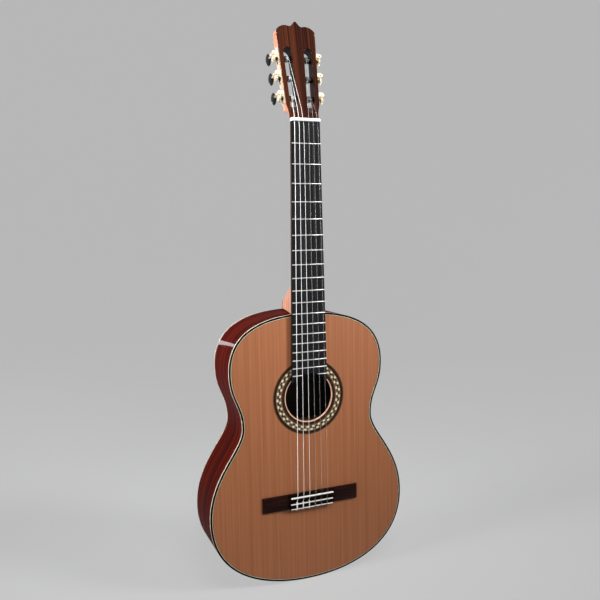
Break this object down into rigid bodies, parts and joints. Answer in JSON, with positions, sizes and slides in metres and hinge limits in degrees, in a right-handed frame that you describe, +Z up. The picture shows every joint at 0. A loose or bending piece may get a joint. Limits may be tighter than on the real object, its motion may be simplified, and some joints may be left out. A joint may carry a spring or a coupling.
{
  "type": "classical guitar",
  "caption": "Classical guitar with a hollow wooden body, round sound hole, fretted neck, tie bridge and a slotted head whose worm-geared knobs turn the string rollers.",
  "frame": {"origin": "on the centre line, at the front edge of the nut, in the plane of the soundboard's face", "axes": "+Z up the neck towards the head, -Y out of the soundboard, -X towards the bass side"},
  "size_m": [0.368, 0.1107, 0.9807],
  "materials": {
    "cedar": "gloss lacquer over straight-grained cedar",
    "rosewood": "gloss lacquer over dark red rosewood",
    "dark_rosewood": "oiled, almost black rosewood",
    "headplate_rosewood": "gloss lacquer over streaked rosewood",
    "neck_wood": "gloss lacquer over pale reddish wood",
    "spruce": "bare wood inside the box",
    "ebony": "bare black wood; the frets set in it are silver-coloured wire",
    "binding": "lacquered black wood",
    "mosaic": "lacquered wood mosaic",
    "bone": "polished white bone",
    "gold_plate": "gold-plated metal",
    "black_plastic": "polished black plastic",
    "silvered_winding": "silver-plated winding over a nylon core",
    "nylon": "clear nylon"
  },
  "bodies": {
    "instrument": {"soundboard": "cedar", "rosette": "mosaic", "back_plate": "rosewood", "bass_side": "rosewood", "treble_side": "rosewood", "top_binding": "binding", "back_binding": "binding", "bass_top_lining": "spruce", "treble_top_lining": "spruce", "bass_back_lining": "spruce", "treble_back_lining": "spruce", "tail_block": "spruce", "upper_harmonic_bar": "spruce", "lower_harmonic_bar": "spruce", "upper_back_brace": "spruce", "middle_back_brace": "spruce", "lower_back_brace": "spruce", "fan_bracing": "spruce", "neck": "neck_wood", "heel_cap": "rosewood", "fingerboard": "ebony", "nut": "bone", "headstock": "neck_wood", "headplate": "headplate_rosewood", "bridge": "dark_rosewood", "saddle": "bone", "front_tie_strip": "bone", "rear_tie_strip": "bone", "bass_tuner_plate": "gold_plate", "treble_tuner_plate": "gold_plate", "string_1": "nylon", "string_2": "nylon", "string_3": "nylon", "string_4": "silvered_winding", "string_5": "silvered_winding", "string_6": "silvered_winding"},
    "knob_1": {"worm_shaft_1": "gold_plate", "tuner_knob_1": "black_plastic"},
    "roller_1": {"string_roller_1": "black_plastic", "tuner_gear_1": "gold_plate"},
    "knob_2": {"worm_shaft_2": "gold_plate", "tuner_knob_2": "black_plastic"},
    "roller_2": {"string_roller_2": "black_plastic", "tuner_gear_2": "gold_plate"},
    "knob_3": {"worm_shaft_3": "gold_plate", "tuner_knob_3": "black_plastic"},
    "roller_3": {"string_roller_3": "black_plastic", "tuner_gear_3": "gold_plate"},
    "knob_4": {"worm_shaft_4": "gold_plate", "tuner_knob_4": "black_plastic"},
    "roller_4": {"string_roller_4": "black_plastic", "tuner_gear_4": "gold_plate"},
    "knob_5": {"worm_shaft_5": "gold_plate", "tuner_knob_5": "black_plastic"},
    "roller_5": {"string_roller_5": "black_plastic", "tuner_gear_5": "gold_plate"},
    "knob_6": {"worm_shaft_6": "gold_plate", "tuner_knob_6": "black_plastic"},
    "roller_6": {"string_roller_6": "black_plastic", "tuner_gear_6": "gold_plate"}
  },
  "joints": [
    {"name": "knob_1_turn", "type": "hinge", "parent": "instrument", "child": "knob_1", "pos_m": [0.03927, 0.0184, 0.04782], "axis": [0, 0.9763, -0.2164], "continuous": true},
    {"name": "roller_1_turn", "type": "hinge", "parent": "instrument", "child": "roller_1", "pos_m": [0.03065, 0.0167, 0.04014], "axis": [0.9992, -0.0085, -0.0383], "continuous": true},
    {"name": "knob_2_turn", "type": "hinge", "parent": "instrument", "child": "knob_2", "pos_m": [0.04064, 0.02597, 0.08196], "axis": [0, 0.9763, -0.2164], "continuous": true},
    {"name": "roller_2_turn", "type": "hinge", "parent": "instrument", "child": "roller_2", "pos_m": [0.03202, 0.02427, 0.07428], "axis": [0.9992, -0.0085, -0.0383], "continuous": true},
    {"name": "knob_3_turn", "type": "hinge", "parent": "instrument", "child": "knob_3", "pos_m": [0.04201, 0.03354, 0.11611], "axis": [0, 0.9763, -0.2164], "continuous": true},
    {"name": "roller_3_turn", "type": "hinge", "parent": "instrument", "child": "roller_3", "pos_m": [0.0334, 0.03184, 0.10843], "axis": [0.9992, -0.0085, -0.0383], "continuous": true},
    {"name": "knob_4_turn", "type": "hinge", "parent": "instrument", "child": "knob_4", "pos_m": [-0.04201, 0.03354, 0.11611], "axis": [0, 0.9763, -0.2164], "continuous": true},
    {"name": "roller_4_turn", "type": "hinge", "parent": "instrument", "child": "roller_4", "pos_m": [-0.0334, 0.03184, 0.10843], "axis": [0.9992, 0.0085, 0.0383], "continuous": true},
    {"name": "knob_5_turn", "type": "hinge", "parent": "instrument", "child": "knob_5", "pos_m": [-0.04064, 0.02597, 0.08196], "axis": [0, 0.9763, -0.2164], "continuous": true},
    {"name": "roller_5_turn", "type": "hinge", "parent": "instrument", "child": "roller_5", "pos_m": [-0.03202, 0.02427, 0.07428], "axis": [0.9992, 0.0085, 0.0383], "continuous": true},
    {"name": "knob_6_turn", "type": "hinge", "parent": "instrument", "child": "knob_6", "pos_m": [-0.03927, 0.0184, 0.04782], "axis": [0, 0.9763, -0.2164], "continuous": true},
    {"name": "roller_6_turn", "type": "hinge", "parent": "instrument", "child": "roller_6", "pos_m": [-0.03065, 0.0167, 0.04014], "axis": [0.9992, 0.0085, 0.0383], "continuous": true}
  ],
  "couplings": [
    {"joint": "roller_1_turn", "follows": "knob_1_turn", "ratio": 0.071429},
    {"joint": "roller_2_turn", "follows": "knob_2_turn", "ratio": 0.071429},
    {"joint": "roller_3_turn", "follows": "knob_3_turn", "ratio": 0.071429},
    {"joint": "roller_4_turn", "follows": "knob_4_turn", "ratio": 0.071429},
    {"joint": "roller_5_turn", "follows": "knob_5_turn", "ratio": 0.071429},
    {"joint": "roller_6_turn", "follows": "knob_6_turn", "ratio": 0.071429}
  ]
}
